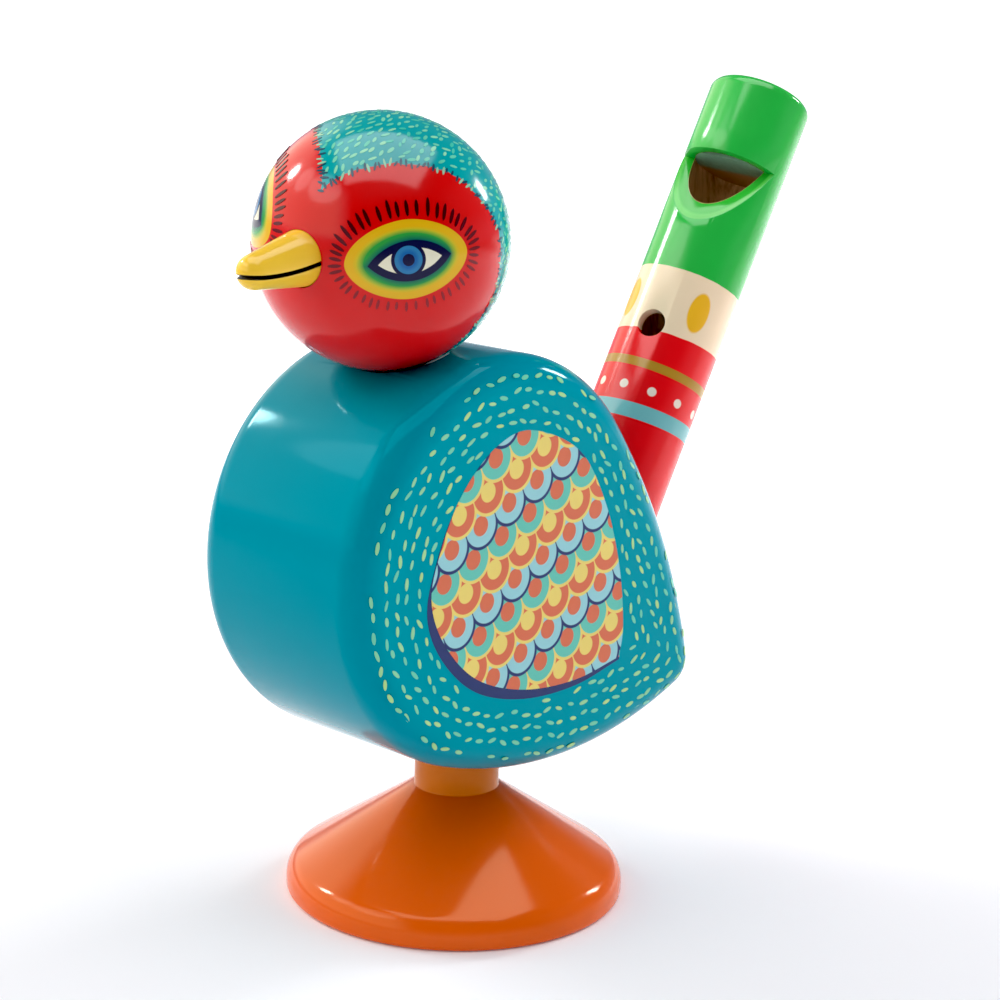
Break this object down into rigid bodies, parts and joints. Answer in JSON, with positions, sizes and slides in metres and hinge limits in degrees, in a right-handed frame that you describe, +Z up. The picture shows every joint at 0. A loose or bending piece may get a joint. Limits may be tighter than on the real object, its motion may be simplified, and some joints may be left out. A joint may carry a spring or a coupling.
{
  "type": "bird call",
  "caption": "Lacquered wooden bird on a round turned foot, with a ball head that turns on a dowel and a blown whistle with a finger hole for a tail.",
  "frame": {"origin": "centre of the foot's flat underside", "axes": "+Z up; the bird faces -X, its left side is -Y and its tail whistle leans back to +X"},
  "size_m": [0.1408, 0.06, 0.1421],
  "materials": {
    "orange_lacquer": "glossy orange lacquer on turned wood",
    "bare_wood": "bare planed dowel",
    "teal_lacquer": "glossy teal lacquer on wood, with painted sides",
    "red_lacquer": "glossy red lacquer on a wooden ball, with a painted cap and eyes",
    "yellow_lacquer": "glossy yellow lacquer on turned wood",
    "green_lacquer": "glossy lacquer in bands of green, cream and red on a wooden tube",
    "block_wood": "bare wood with a thin wash of green paint"
  },
  "bodies": {
    "bird": {"foot": "orange_lacquer", "foot_dowel": "bare_wood", "body_block": "teal_lacquer"},
    "head": {"neck_dowel": "bare_wood", "head_ball": "red_lacquer", "beak": "yellow_lacquer"},
    "tail": {"whistle_tube": "green_lacquer", "fipple_block": "block_wood"}
  },
  "joints": [
    {"name": "head_turn", "type": "hinge", "parent": "bird", "child": "head", "pos_m": [-0.02077, 0, 0.117], "axis": [-0.23, 0, 0.9732], "continuous": true},
    {"name": "tail_turn", "type": "hinge", "parent": "bird", "child": "tail", "pos_m": [0.02463, 0, 0.04055], "axis": [0.4863, 0, 0.8738], "continuous": true}
  ]
}
